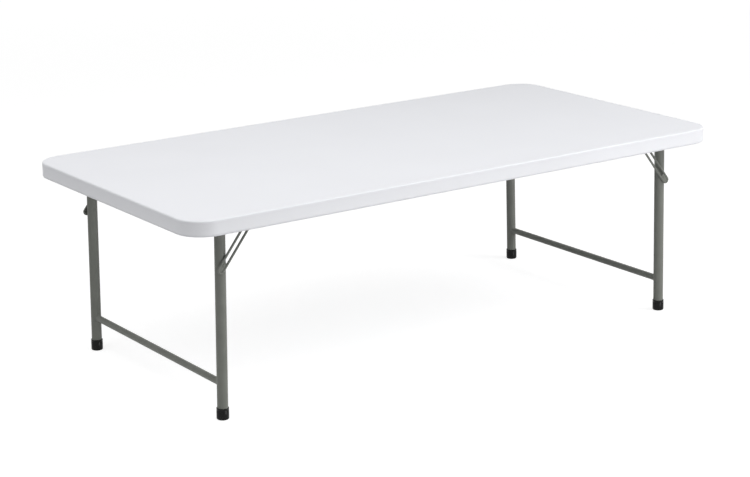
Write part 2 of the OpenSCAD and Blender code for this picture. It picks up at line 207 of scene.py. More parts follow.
def add(tree, kind, sockets=None, settings=None):
    """Adds one node, with the value or the output for each input named, and its settings."""
    node = tree.nodes.new(kind)
    for name, value in (settings or {}).items():
        setattr(node, name, value)
    for key, value in (sockets or {}).items():
        if isinstance(value, bpy.types.Node):
            value = value.outputs[0]
        if isinstance(value, bpy.types.NodeSocket):
            tree.links.new(value, node.inputs[key])
        else:
            node.inputs[key].default_value = value
    return node


# Noise seldom leaves this range, so each use stretches it over a range of its own
NOISE_RANGE = {"From Min": 0.3, "From Max": 0.7}
# A mix that multiplies one colour by another, or by a value
TINT = {"data_type": "RGBA", "blend_type": "MULTIPLY"}


def empty_tree(owner):
    """The node tree of a new material or world, with nothing in it."""
    owner.use_nodes = True
    owner.node_tree.nodes.clear()
    return owner.node_tree


def begin_material(name, *grains):
    """A node material, and a noise on the object's own coordinates for each of its grains.

    A grain is the size in millimetres at which it repeats, and what else its noise is given.
    """
    material = bpy.data.materials.new(name)
    tree = empty_tree(material)
    place = add(tree, "ShaderNodeTexCoord").outputs["Object"]
    return material, [
        add(tree, "ShaderNodeTexNoise", {"Vector": place, "Scale": 1 / (size * MM), **more})
        for size, more in grains
    ]


def end_material(material, base, tones, dull, relief, shine):
    """Ends a material: its base colour under its tones, its dullness, relief and shine.

    A tone, or the dullness, is a noise with the least and the most that it comes to. Relief
    is noises with their depths, the broadest first. Shine is for the shader's own sockets.
    """
    tree = material.node_tree
    *tones, roughness = [
        add(tree, "ShaderNodeMapRange", {**NOISE_RANGE, 0: noise, "To Min": least, "To Max": most})
        for noise, least, most in (*tones, dull)
    ]
    shade = (*base, 1.0)
    for tone in tones:
        shade = add(tree, "ShaderNodeMix", {0: 1.0, 6: shade, 7: tone}, TINT).outputs[2]
    normal = {}
    for noise, depth in relief:
        bump = add(tree, "ShaderNodeBump", {"Height": noise, "Distance": depth, **normal})
        normal = {"Normal": bump}
    shader = add(tree, "ShaderNodeBsdfPrincipled", {
        "Base Color": shade, "Roughness": roughness, **normal, **shine,
    })
    add(tree, "ShaderNodeOutputMaterial", {"Surface": shader})
    return material


def blow_moulded_polyethylene():
    """White polyethylene, blown against a grained mould.

    The eye gets a cool white satin: a soft highlight, broken by a leathery grain, over very
    shallow waves where the wall shrank as it cooled.
    """
    # The real grain is about 0.6 mm, and is drawn three times as coarse so that it shows.
    # The shrinkage waves repeat at about the dimples' pitch.
    material, (leather, waves, cloud) = begin_material(
        "blow_moulded_polyethylene", (1.8, {"Detail": 3.0, "Roughness": 0.6}),
        (95.0, {"Detail": 1.0}), (240.0, {}),
    )
    return end_material(
        material, bpy.context.scene.kids_table_top.plastic, tones=[(cloud, 0.985, 1.0)],
        dull=(leather, 0.50, 0.60), relief=[(waves, 0.22 * MM), (leather, 0.035 * MM)],
        shine={"IOR": 1.54},
    )


def polyester_powder_coat():
    """Steel, dusted with grey polyester powder and baked.

    The eye gets a flat warm grey with a broad soft highlight, orange peel on the tubes, and
    a slightly uneven depth of colour.
    """
    material, (peel, speck, cloud) = begin_material(
        "polyester_powder_coat", (2.0, {"Detail": 1.0}), (0.7, {"Roughness": 0.7}), (35.0, {}),
    )
    return end_material(
        material, bpy.context.scene.kids_table_steel.coat,
        tones=[(cloud, 0.94, 1.04), (speck, 0.96, 1.03)], dull=(peel, 0.38, 0.46),
        relief=[(peel, 0.03 * MM), (speck, 0.008 * MM)],
        shine={"IOR": 1.5, "Specular IOR Level": 0.15},
    )


def zinc_plated_steel():
    """Cold-headed steel, zinc plated in a barrel.

    The eye gets a pale bluish metal with a cloudy shine and fine tumbling marks.
    """
    material, (cloud, marks) = begin_material(
        "zinc_plated_steel", (2.5, {"Detail": 3.0, "Roughness": 0.6}), (0.5, {}),
    )
    return end_material(
        material, bpy.context.scene.kids_table_fasteners.zinc, tones=[(cloud, 0.88, 1.0)],
        dull=(cloud, 0.26, 0.42), relief=[(marks, 0.012 * MM)], shine={"Metallic": 1.0},
    )


def moulded_rubber():
    """Black thermoplastic rubber, injection moulded in a spark-eroded mould.

    The eye gets a deep black with a narrow soft highlight, a fine grain and a trace of dust.
    """
    material, (erosion, dust) = begin_material(
        "moulded_rubber", (0.8, {"Roughness": 0.6}), (9.0, {"Detail": 4.0, "Roughness": 0.6}),
    )
    return end_material(
        material, bpy.context.scene.kids_table_caps.rubber, tones=[(dust, 0.85, 1.35)],
        dull=(dust, 0.20, 0.32), relief=[(erosion, 0.02 * MM)],
        shine={"IOR": 1.5, "Specular IOR Level": 0.16},
    )


def moulded_polypropylene():
    """Black polypropylene, injection moulded and ejected warm.

    The eye gets a near-black with a clearer highlight than the rubber of the caps.
    """
    material, (flow, erosion) = begin_material(
        "moulded_polypropylene", (4.0, {}), (0.6, {"Detail": 1.0}),
    )
    return end_material(
        material, bpy.context.scene.kids_table_caps.plug, tones=[(flow, 0.92, 1.1)],
        dull=(flow, 0.30, 0.38), relief=[(erosion, 0.012 * MM)], shine={"IOR": 1.49},
    )


# The slot of the tubes, the sheet steel and the braces, and the finish for each of the slots
COATED = "powder_coated_steel"
FINISHES = {
    "white_hdpe": blow_moulded_polyethylene,
    COATED: polyester_powder_coat,
    "zinc_steel": zinc_plated_steel,
    "black_rubber": moulded_rubber,
    "black_plastic": moulded_polypropylene,
}


def finish_of(slot):
    """The material for this slot, made once."""
    make = FINISHES[slot]
    return bpy.data.materials.get(make.__name__) or make()


def linked(name, data):
    """A new object with this data, in the scene."""
    thing = bpy.data.objects.new(name, data)
    bpy.context.scene.collection.objects.link(thing)
    return thing


def front_and_back(kind, side):
    """The names of the two CAD nodes of a kind on one side's frame."""
    return [f"{kind}_{f}{side[0]}" for f in FACES]


def shells(shape):
    """The vertices of each connected shell of a bmesh."""
    waiting = dict.fromkeys(shape.verts)
    while waiting:
        shell = [waiting.popitem()[0]]
        # The shell grows while this goes through it
        for vert in shell:
            for edge in vert.link_edges:
                other = edge.other_vert(vert)
                if other in waiting:
                    del waiting[other]
                    shell.append(other)
        yield shell


def place_piece(name, shape, body, nodes=(), slot=COATED, crease=35.0):
    """Makes a closed bmesh a piece that rides on a body and stands for CAD nodes.

    Its faces point outwards, and are smooth but for edges over crease degrees.
    """
    bmesh.ops.recalc_face_normals(shape, faces=shape.faces)
    # A thin loop can come out of that with its inside out, and its volume tells
    for shell in shells(shape):
        faces = list({face for vert in shell for face in vert.link_faces})
        if sum(f.calc_center_median().dot(f.normal) * f.calc_area() for f in faces) < 0:
            bmesh.ops.reverse_faces(shape, faces=faces)
    for face in shape.faces:
        face.smooth = True
    for edge in shape.edges:
        edge.smooth = edge.calc_face_angle(0.0) < math.radians(crease)
    mesh = bpy.data.meshes.new(name)
    shape.to_mesh(mesh)
    shape.free()
    mesh.materials.append(finish_of(slot))
    piece = linked(name, mesh)
    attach(piece, body)
    if nodes:
        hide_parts(*nodes)


def skin_rings(shape, rings, loop=False):
    """Quads between rings of as many points, from the first to the last or all round."""
    rows = [[shape.verts.new(p) for p in ring] for ring in rings]
    pairs = list(zip(rows, rows[1:]))
    if loop:
        pairs.append((rows[-1], rows[0]))
    for low, high in pairs:
        for quad in zip(low, low[1:] + low[:1], high[1:] + high[:1], high):
            shape.faces.new(quad)
    return rows


def arc(centre, radius, start, end, steps):
    """Points (across, up) on an arc from one angle to another, in degrees."""
    turns = [math.radians(start + (end - start) * i / steps) for i in range(steps + 1)]
    return [(centre[0] + radius * math.cos(t), centre[1] + radius * math.sin(t)) for t in turns]


def turned(shape, profile, place, segments=48):
    """A turned solid about Z; its profile is (radius, height) from axis to axis."""
    rings = [
        [place @ Vector((x, y, z)) for x, y in arc((0, 0), r, 0, 360, segments)[:-1]]
        for r, z in profile[1:-1]
    ]
    rows = skin_rings(shape, rings)
    for row, (_, z) in ((rows[0], profile[0]), (rows[-1], profile[-1])):
        pole = shape.verts.new(place @ Vector((0, 0, z)))
        for a, b in zip(row, row[1:] + row[:1]):
            shape.faces.new((a, b, pole))


def frame_axes(sign):
    """A leg frame's own axes: origin on its hinge axis, -Z down the leaning legs."""
    return Matrix.Translation((sign * HINGE.x, 0, HINGE.z)) @ Matrix.Rotation(-sign * SPLAY, 4, "Y")


def across(origin=(0, 0, 0), sign=1):
    """Axes with Z along +Y, or along -Y for a negative sign, and this origin."""
    return Matrix.Translation(origin) @ Matrix.Rotation(-sign * math.pi / 2, 4, "X")


def plan_ring(inset, z, steps=12):
    """The top's outline at a level, moved inwards."""
    radius = bpy.context.scene.kids_table_top.corner_radius
    x, y = TOP_HIGH.x - radius, TOP_HIGH.y - radius
    return [
        Vector((sx * x + out, sy * y + up, z))
        for turn, (sx, sy) in enumerate(((1, 1), (-1, 1), (-1, -1), (1, -1)))
        for out, up in arc((0, 0), radius - inset, 90 * turn, 90 * turn + 90, steps)
    ]


def dimpled_panel(shape, quarter=5):
    """The dimples, and the flat underside between them and the open edge of the shape.

    A ring of a dimple has this many points to a quarter.
    """
    s = bpy.context.scene.kids_table_top
    half = s.dimple_pitch / 2
    mouth, floor, lip, depth = s.dimple_mouth / 2, s.dimple_floor / 2, s.dimple_lip, s.dimple_depth
    # Radius and height above the panel, from the flat round the mouth to the middle, with the
    # curve of each lip in shares of its rounding
    profile = [
        (mouth * 1.5, 0), (mouth + lip * 0.9, 0), (mouth + lip * 0.25, lip * 0.12),
        (mouth - lip * 0.12, lip * 0.55), (floor + lip * 0.3, depth - lip * 0.7),
        (floor - lip * 0.1, depth - lip * 0.2), (floor - lip, depth),
    ]
    # A square of the panel round each dimple, with as many points as the dimple's rings
    steps = [(1 - 2 * i / quarter) * half for i in range(quarter)]
    square = [(a, half) for a in steps] + [(-half, a) for a in steps]
    square += [(-a, -half) for a in steps] + [(half, -a) for a in steps]
    cells = []
    for i in range(s.dimple_columns):
        for j in range(s.dimple_rows):
            cx = (i - (s.dimple_columns - 1) / 2) * s.dimple_pitch
            cy = (j - (s.dimple_rows - 1) / 2) * s.dimple_pitch
            rings = [[Vector((cx + x, cy + y, PANEL_UNDER)) for x, y in square]]
            for r, up in profile:
                ring = arc((cx, cy), r, 45, 405, len(square))[:-1]
                rings.append([Vector((x, y, PANEL_UNDER + up)) for x, y in ring])
            rows = skin_rings(shape, rings)
            shape.faces.new(rows[-1])
            cells += rows[0]
    bmesh.ops.remove_doubles(shape, verts=cells, dist=SAME_POINT)
    rim = [e for e in shape.edges if e.is_boundary]
    bmesh.ops.triangle_fill(shape, use_beauty=True, edges=rim, normal=(0, 0, -1))


class KIDS_TABLE_OT_top_moulding(bpy.types.Operator):
    """The blow-moulded top: upper face, skirt, hollow rim and dimpled underside"""

    bl_idname = "kids_table.top_moulding"
    bl_label = "Moulded top"

    def execute(self, context):
        s = context.scene.kids_table_top
        top, low = TOP_HIGH.z, TOP_LOW.z
        skirt, upper, lower, inner = s.parting_proud, s.upper_round, s.lower_round, s.inner_round
        line, foot, crest = low + s.parting, s.parting_foot, s.parting_crest
        wall = s.rim_width + s.rim_draft
        flat_rings = 60 * MM, 12 * MM
        # Distance in from the top's outline and height, from the upper face round to the panel
        section = [(inset, top) for inset in flat_rings]
        section += arc((skirt + upper, top - upper), upper, 90, 180, 8)
        section += [(skirt, line + foot), (0, line + crest)]
        section += [(0, line - crest), (skirt, line - foot)]
        section += arc((skirt + lower, low + lower), lower, 180, 270, 6)
        section += arc((s.rim_width - inner, low + inner), inner, -90, 0, 6)
        section += arc((wall + inner, PANEL_UNDER - inner), inner, 180, 90, 6)
        shape = bmesh.new()
        rows = skin_rings(shape, [plan_ring(inset, z) for inset, z in section])
        shape.faces.new(rows[0])
        dimpled_panel(shape)
        place_piece("top_moulding", shape, "top", ["table_top"], "white_hdpe")
        return {"FINISHED"}


class KIDS_TABLE_OT_pressed_steel(bpy.types.Operator):
    """The side rails and hinge straps, with the sharp edges of the sheet eased"""

    bl_idname = "kids_table.pressed_steel"
    bl_label = "Rails and straps"

    def execute(self, context):
        nodes = ["side_rail_front", "side_rail_back"]
        for side in SIDES:
            nodes += front_and_back("hinge_strap", side)
        shape = bmesh.new()
        for node in nodes:
            shape.from_mesh(frame["nodes"][node].data)
        bmesh.ops.remove_doubles(shape, verts=shape.verts, dist=SAME_POINT)
        flat, corner = math.radians(1), math.radians(40)
        bmesh.ops.dissolve_limit(shape, angle_limit=flat, verts=shape.verts, edges=shape.edges)
        sharp = [e for e in shape.edges if e.calc_face_angle(0.0) > corner]
        bmesh.ops.bevel(
            shape, geom=sharp, offset=context.scene.kids_table_steel.edge_ease, segments=2,
            profile=0.5, affect="EDGES", clamp_overlap=True,
        )
        place_piece("rails_and_straps", shape, "top", nodes, crease=30.0)
        return {"FINISHED"}


# Two nodes in common use, and operations of the Math and Vector Math nodes
MATH, COMBINE = "ShaderNodeMath", "ShaderNodeCombineXYZ"
PLUS, MINUS, TIMES, OVER, POWER, SINE, SIZE_OF = (
    {"operation": name}
    for name in ("ADD", "SUBTRACT", "MULTIPLY", "DIVIDE", "POWER", "SINE", "ABSOLUTE")
)


def new_tree(name, *sizes):
    """An empty geometry tree with a mesh in, a mesh out and an input for each of its sizes."""
    tree = bpy.data.node_groups.new(name, "GeometryNodeTree")
    for way in ("INPUT", "OUTPUT"):
        tree.interface.new_socket("Geometry", in_out=way, socket_type="NodeSocketGeometry")
    for size in sizes:
        tree.interface.new_socket(size, in_out="INPUT", socket_type="NodeSocketFloat")
    return tree, add(tree, "NodeGroupInput").outputs


def end_tree(tree, geometry, slot=COATED):
    """Realizes what the tree made, sets its material and puts it out."""
    real = add(tree, "GeometryNodeRealizeInstances", {0: geometry})
    dressed = add(tree, "GeometryNodeSetMaterial", {0: real, "Material": finish_of(slot)})
    add(tree, "NodeGroupOutput", {0: dressed})
    return tree


def grow(shape, start, tree, values):
    """Adds to a bmesh what the tree makes from a start mesh with these input values."""
    seed = linked(start.name, start)
    modifier = seed.modifiers.new("tree", "NODES")
    modifier.node_group = tree
    for item in tree.interface.items_tree:
        if item.name in values:
            modifier[item.identifier] = values[item.name]
    depsgraph = bpy.context.evaluated_depsgraph_get()
    mesh = bpy.data.meshes.new_from_object(seed.evaluated_get(depsgraph), depsgraph=depsgraph)
    seed.modifiers.remove(modifier)
    bpy.data.objects.remove(seed)
    shape.from_mesh(mesh)
    bpy.data.meshes.remove(mesh)


def screw_tree():
    """A pan-head screw with a cross recess at each point, its head down the point's -Z."""
    tree, given = new_tree(
        "cross_recess_screws", "Head Radius", "Head Height", "Shank Radius", "Shank Length",
        "Recess Length", "Recess Width", "Recess Depth", "Sheet",
    )
    tree.interface.new_socket("Seed", in_out="INPUT", socket_type="NodeSocketInt")
    head = add(tree, "GeometryNodeMeshCylinder", {
        "Vertices": 24, "Side Segments": 6, "Radius": given["Head Radius"],
        "Depth": given["Head Height"],
    })
    # The side draws in ever more towards the driven face, so the head is a dome with a flat
    steepness, flat = 2.6, 0.62
    here = add(tree, "GeometryNodeInputPosition")
    level = add(tree, "ShaderNodeSeparateXYZ", {0: here}).outputs["Z"]
    share = add(tree, MATH, {0: level, 1: given["Head Height"]}, OVER)
    depth = add(tree, MATH, {0: 0.5, 1: share}, MINUS)
    bend = add(tree, MATH, {0: depth, 1: steepness}, POWER)
    draw_in = add(tree, "ShaderNodeMapRange", {"Value": bend, "To Min": 1.0, "To Max": flat})
    squeeze = add(tree, COMBINE, {0: draw_in, 1: draw_in, 2: 1.0})
    drawn_in = add(tree, "ShaderNodeVectorMath", {0: here, 1: squeeze}, TIMES)
    domed = add(tree, "GeometryNodeSetPosition", {"Geometry": head, "Position": drawn_in})
    face_level = add(tree, MATH, {0: given["Head Height"], 1: -0.5}, TIMES)
    face = add(tree, COMBINE, {2: face_level})
    cut = add(tree, "GeometryNodeMeshBoolean", {"Mesh 1": domed}, {
        "operation": "DIFFERENCE", "solver": "EXACT",
    })
    cut_depth = add(tree, MATH, {0: given["Recess Depth"], 1: 2.0}, TIMES)
    for along, wide in (("Recess Length", "Recess Width"), ("Recess Width", "Recess Length")):
        size = add(tree, COMBINE, {0: given[along], 1: given[wide], 2: cut_depth})
        arm = add(tree, "GeometryNodeMeshCube", {"Size": size})
        moved = add(tree, "GeometryNodeTransform", {"Geometry": arm, "Translation": face})
        tree.links.new(moved.outputs[0], cut.inputs["Mesh 2"])
    shank = add(tree, "GeometryNodeMeshCylinder", {
        "Vertices": 16, "Radius": given["Shank Radius"], "Depth": given["Shank Length"],
    })
    half_shank = add(tree, MATH, {0: given["Shank Length"], 1: 0.5}, TIMES)
    screw = add(tree, "GeometryNodeJoinGeometry")
    # The head sits under the sheet, and the shank starts there and goes up through it
    for part, middle in ((cut, face_level), (shank, half_shank)):
        height = add(tree, MATH, {0: middle, 1: given["Sheet"]}, MINUS)
        seat = add(tree, COMBINE, {2: height})
        seated = add(tree, "GeometryNodeTransform", {"Geometry": part, "Translation": seat})
        tree.links.new(seated.outputs[0], screw.inputs[0])
    # Only a turn up to a right angle differs on a cross
    turn = add(tree, "FunctionNodeRandomValue", {3: math.pi / 2, "Seed": given["Seed"]})
    about = add(tree, COMBINE, {2: turn.outputs[1]})
    placed = add(tree, "GeometryNodeInstanceOnPoints", {
        "Points": given["Geometry"], "Instance": screw, "Rotation": about,
    })
    return end_tree(tree, placed, "zinc_steel")


def screw_points():
    """Where the CAD screws stand: the middle of each one's own faces, on the panel."""
    shape = bmesh.new()
    for node in ("rail_screws", "strap_screws"):
        shape.from_mesh(frame["nodes"][node].data)
    bmesh.ops.remove_doubles(shape, verts=shape.verts, dist=SAME_POINT)
    points = []
    for shell in shells(shape):
        x, y, _ = zip(*(vert.co for vert in shell))
        points.append(((min(x) + max(x)) / 2, (min(y) + max(y)) / 2, PANEL_UNDER))
    shape.free()
    return points


class KIDS_TABLE_OT_screws(bpy.types.Operator):
    """The cross-recess screws of the rails and straps, each turned as it was driven"""

    bl_idname = "kids_table.screws"
    bl_label = "Screws"

    def execute(self, context):
        s = context.scene.kids_table_fasteners
        start = bpy.data.meshes.new("screw_points")
        start.from_pydata(screw_points(), [], [])
        shape = bmesh.new()
        grow(shape, start, screw_tree(), {
            "Head Radius": s.head / 2, "Head Height": s.head_height, "Shank Radius": s.shank / 2,
            "Shank Length": s.shank_length, "Recess Length": s.recess,
            "Recess Width": s.recess_width, "Recess Depth": s.recess_depth, "Sheet": s.sheet,
            "Seed": s.seed,
        })
        place_piece("top_screws", shape, "top", ["rail_screws", "strap_screws"], "zinc_steel")
        return {"FINISHED"}


def tube_between(shape, place, radius, wall, start, end, segments=48):
    """A hollow tube about Z; start and end give the height of its wall at x across it."""
    rings = [
        [place @ Vector((x, y, height(x))) for x, y in arc((0, 0), r, 0, 360, segments)[:-1]]
        for r, heights in ((radius, (start, end)), (radius - wall, (end, start)))
        for height in heights
    ]
    skin_rings(shape, rings, loop=True)


def saddle(x):
    """Distance from a leg or hinge tube's axis to its wall at x across it."""
    return math.sqrt(max(TUBE_RADIUS * TUBE_RADIUS - x * x, 0.0))


class KIDS_TABLE_OT_frame_tubes(bpy.types.Operator):
    """The leg tubes, hinge tube and low bar of each frame, coped to one another"""

    bl_idname = "kids_table.frame_tubes"
    bl_label = "Frame tubes"

    def execute(self, context):
        s = context.scene.kids_table_steel
        foot = context.scene.kids_table_caps.cap_floor - LEG_DROP
        for side, sign in SIDES.items():
            axes = frame_axes(sign)
            shape = bmesh.new()
            tube_between(
                shape, axes @ across(), TUBE_RADIUS, s.tube_wall,
                lambda x: -TUBE_END, lambda x: TUBE_END,
            )
            for face in FACES.values():
                leg = axes @ Matrix.Translation((0, face * LEG_Y, 0))
                tube_between(
                    shape, leg, TUBE_RADIUS, s.tube_wall, lambda x: foot, lambda x: -saddle(x)
                )
            tube_between(
                shape, axes @ across((0, 0, -BAR_DROP)), BAR_RADIUS, s.bar_wall,
                lambda x: saddle(x) - LEG_Y, lambda x: LEG_Y - saddle(x), segments=32,
            )
            nodes = [*front_and_back("leg_tube", side), "hinge_tube_" + side, "low_bar_" + side]
            place_piece("frame_tubes_" + side, shape, side + "_frame", nodes)
        return {"FINISHED"}


def bead_tree():
    """A rippled weld bead along each line of the start mesh."""
    tree, given = new_tree("weld_beads", "Bead Radius", "Ripple Pitch")
    # There are five points to a ripple, and the bead is a little thinner between two
    step_share, thinnest = 0.2, 0.86
    line = add(tree, "GeometryNodeMeshToCurve", {0: given["Geometry"]})
    step = add(tree, MATH, {0: given["Ripple Pitch"], 1: step_share}, TIMES)
    fine = add(tree, "GeometryNodeResampleCurve", {0: line, "Length": step}, {"mode": "LENGTH"})
    along = add(tree, "GeometryNodeSplineParameter").outputs["Length"]
    ripples = add(tree, MATH, {0: along, 1: given["Ripple Pitch"]}, OVER)
    phase = add(tree, MATH, {0: ripples, 1: math.pi}, TIMES)
    wave = add(tree, MATH, {0: add(tree, MATH, {0: phase}, SINE)}, SIZE_OF)
    swell = add(tree, "ShaderNodeMapRange", {"Value": wave, "To Min": thinnest, "To Max": 1.0})
    ring = add(tree, "GeometryNodeCurvePrimitiveCircle", {
        "Resolution": 8, "Radius": given["Bead Radius"],
    })
    bead = add(tree, "GeometryNodeCurveToMesh", {
        "Curve": fine, "Profile Curve": ring, "Scale": swell, "Fill Caps": True,
    })
    return end_tree(tree, bead)


def line_mesh(lines):
    """A mesh of open or closed lines; a closed one ends on its first point."""
    points, edges = [], []
    for line in lines:
        closed = (line[0] - line[-1]).length < SAME_POINT
        first = len(points)
        points += line[:-1] if closed else line
        edges += [(i, i + 1) for i in range(first, len(points) - 1)]
        if closed:
            edges.append((len(points) - 1, first))
    mesh = bpy.data.meshes.new("lines")
    mesh.from_pydata(points, edges, [])
    return mesh


class KIDS_TABLE_OT_weld_beads(bpy.types.Operator):
    """The weld beads where the low bar and the hinge tube meet the legs"""

    bl_idname = "kids_table.weld_beads"
    bl_label = "Weld beads"

    def execute(self, context):
        s = context.scene.kids_table_steel
        tree = bead_tree()
        # The upper weld leaves bare the side that folds against the panel
        upper_turn = 145
        low = arc((0, 0), BAR_RADIUS, 0, 360, 48)
        upper = arc((0, 0), TUBE_RADIUS, -upper_turn, upper_turn, 48)
        for side, sign in SIDES.items():
            axes = frame_axes(sign)
            lines = []
            for face in FACES.values():
                lines += [
                    [axes @ Vector((x, face * (LEG_Y - saddle(x)), z - BAR_DROP)) for x, z in low],
                    [axes @ Vector((sign * x, face * (LEG_Y + y), -saddle(x))) for x, y in upper],
                ]
            shape = bmesh.new()
            grow(shape, line_mesh(lines), tree, {"Bead Radius": s.bead, "Ripple Pitch": s.ripple})
            place_piece("weld_beads_" + side, shape, side + "_frame", crease=60.0)
        return {"FINISHED"}


# The shallow groove round a foot cap: its depth, and how far it is below the lip, in millimetres
CAP_GROOVE = ((0, 5.4), (0.35, 4.9), (0.35, 4.3), (0, 3.8))


class KIDS_TABLE_OT_foot_caps(bpy.types.Operator):
    """The black caps on the legs, their soles level with the floor"""

    bl_idname = "kids_table.foot_caps"
    bl_label = "Foot caps"

    def execute(self, context):
        s = context.scene.kids_table_caps
        outer, inner = TUBE_RADIUS + s.cap_wall, TUBE_RADIUS + s.cap_ease
        height, lip, bottom = s.cap_height, s.cap_lip, s.cap_round
        # Each cap starts lower by this, and the floor then cuts its leaning sole level
        extra = outer * math.tan(SPLAY)
        seat = s.cap_floor + extra
        # Up the outside, over the lip and down to the tube's end
        profile = [(0, 0)] + arc((outer - bottom, bottom), bottom, -90, 0, 8)
        profile += [(outer - depth * MM, height - drop * MM) for depth, drop in CAP_GROOVE]
        profile += arc((outer - lip, height - lip), lip, 0, 90, 4)
        profile += [(inner, height), (inner, seat), (inner - s.cap_ledge, seat), (0, seat)]
        for side, sign in SIDES.items():
            shape = bmesh.new()
            for face in FACES.values():
                down = Matrix.Translation((0, face * LEG_Y, -LEG_DROP - extra))
                turned(shape, profile, frame_axes(sign) @ down)
            for vert in shape.verts:
                vert.co.z = max(vert.co.z, 0.0)
            bmesh.ops.dissolve_degenerate(shape, dist=SAME_POINT, edges=shape.edges)
            caps = front_and_back("foot_cap", side)
            place_piece("foot_caps_" + side, shape, side + "_frame", caps, "black_rubber")
        return {"FINISHED"}


# A plug's lead-in, radius and length in millimetres, and its face, from the flange's underside
# to its middle, in shares of the flange's radius and thickness
PLUG_LEAD = (0.8, 1)
PLUG_FACE = ((1, 0), (1, 0.4), (0.97, 0.75), (0.9, 0.9), (0.5, 1), (0.2, 1), (0, 1))


class KIDS_TABLE_OT_tube_plugs(bpy.types.Operator):
    """The plugs in the ends of the hinge tubes, with slightly domed faces"""

    bl_idname = "kids_table.tube_plugs"
    bl_label = "Tube plugs"

    def execute(self, context):
        s = context.scene.kids_table_caps
        wall = context.scene.kids_table_steel.tube_wall
        bore, flange = TUBE_RADIUS - wall - s.plug_ease, TUBE_RADIUS - wall / 2
        narrow, long = PLUG_LEAD
        profile = [(0, -s.plug_depth), (bore - narrow * MM, -s.plug_depth)]
        profile += [(bore, long * MM - s.plug_depth), (bore, 0)]
        profile += [(flange * r, s.plug_flange * up) for r, up in PLUG_FACE]
        for side, sign in SIDES.items():
            shape = bmesh.new()
            for face in FACES.values():
                turned(shape, profile, frame_axes(sign) @ across((0, face * TUBE_END, 0), face))
            plugs = ["tube_plugs_" + side]
            place_piece("domed_plugs_" + side, shape, side + "_frame", plugs, "black_plastic")
        return {"FINISHED"}


# Radius and rise, in millimetres, of each stretch of a rivet from the level it starts at: the
# tail head inside the frame, the collar between leg and plate, and the outer head
RIVET_TAIL = ((2.2, -1.35), (3.3, -1.0), (3.9, -0.4), (4, 0), (2, 0))
RIVET_COLLAR = ((2, 0), (3.68, 0))
RIVET_HEAD = ((2, 0), (3.68, 0), (3.6, 0.5), (3.0, 1.0))
RIVET_CROWN = ((1.8, -0.08), (0, 0))
# The same for a guide pin's shank, and for its head with the radius in shares
PIN_SHANK = ((0, 0), (2.1, 0), (2.5, 0.4))
PIN_CROWN = ((1, -0.9), (0.9, -0.35), (0.6, -0.06), (0, 0))


class KIDS_TABLE_OT_rivets_and_pins(bpy.types.Operator):
    """The rivets that the braces turn on, and the guide pins in the rails' slots"""

    bl_idname = "kids_table.rivets_and_pins"
    bl_label = "Rivets and pins"

    def execute(self, context):
        s = context.scene.kids_table_fasteners
        for side in SIDES:
            shape = bmesh.new()
            for f, face in FACES.items():
                pivot = JOINTS[f"brace_{f}{side[0]}_turn"]["pos_m"]
                inside, outside = LEG_Y - TUBE_RADIUS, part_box("pivot_rivets_" + side)[1].y
                plate = abs(pivot[1])
                # Half the gap between collar and head, in which the brace's plate turns
                gap = outside - plate - s.rivet_head
                stretches = (
                    (inside, RIVET_TAIL), (TUBE_END, RIVET_COLLAR),
                    (plate - gap, RIVET_COLLAR[::-1]), (plate + gap, RIVET_HEAD),
                    (outside, RIVET_CROWN),
                )
                profile = [(0, inside - s.rivet_head)]
                profile += [
                    (r * MM, level + up * MM) for level, steps in stretches for r, up in steps
                ]
                turned(shape, profile, across((pivot[0], 0, pivot[2]), face), segments=32)
            place_piece("brace_rivets_" + side, shape, side + "_frame", ["pivot_rivets_" + side])
            for f, face in FACES.items():
                corner = f + side[0]
                low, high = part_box("guide_pin_" + corner)
                middle = (low + high) / 2
                head = (high.x - low.x) / 2
                start, end = sorted((abs(low.y), abs(high.y)))
                profile = [(r * MM, start + up * MM) for r, up in PIN_SHANK]
                profile += [(profile[-1][0], end - s.pin_head), (head, end - s.pin_head)]
                profile += [(head * r, end + up * MM) for r, up in PIN_CROWN]
                shape = bmesh.new()
                turned(shape, profile, across((middle.x, 0, middle.z), face), segments=32)
                name, pins = "guide_pin_head_" + corner, ["guide_pin_" + corner]
                place_piece(name, shape, "brace_" + corner, pins, "zinc_steel")
        return {"FINISHED"}


def loop_tree():
    """A closed loop of round rod along X, with a half-round bend at each end."""
    tree, given = new_tree("rod_loop", "Tail", "Reach", "Rod Pitch", "Rod Radius")
    straight = add(tree, MATH, {0: given["Tail"], 1: given["Reach"]}, PLUS)
    whole = add(tree, MATH, {0: straight, 1: given["Rod Pitch"]}, PLUS)
    outline = add(tree, "GeometryNodeCurvePrimitiveQuadrilateral", {
        "Width": whole, "Height": given["Rod Pitch"],
    })
    # A little under half the pitch, so that the two bends of an end never meet
    bend = add(tree, MATH, {0: given["Rod Pitch"], 1: 0.499}, TIMES)
    bent = add(tree, "GeometryNodeFilletCurve", {
        "Curve": outline, "Radius": bend, "Count": 10,
    }, {"mode": "POLY"})
    ahead = add(tree, MATH, {0: given["Reach"], 1: given["Tail"]}, MINUS)
    centre = add(tree, MATH, {0: ahead, 1: 0.5}, TIMES)
    middle = add(tree, COMBINE, {0: centre})
    stood = add(tree, "GeometryNodeTransform", {
        "Geometry": bent, "Rotation": (math.pi / 2, 0, 0), "Translation": middle,
    })
    rod = add(tree, "GeometryNodeCurvePrimitiveCircle", {
        "Resolution": 20, "Radius": given["Rod Radius"],
    })
    swept = add(tree, "GeometryNodeCurveToMesh", {"Curve": stood, "Profile Curve": rod})
    return end_tree(tree, swept)


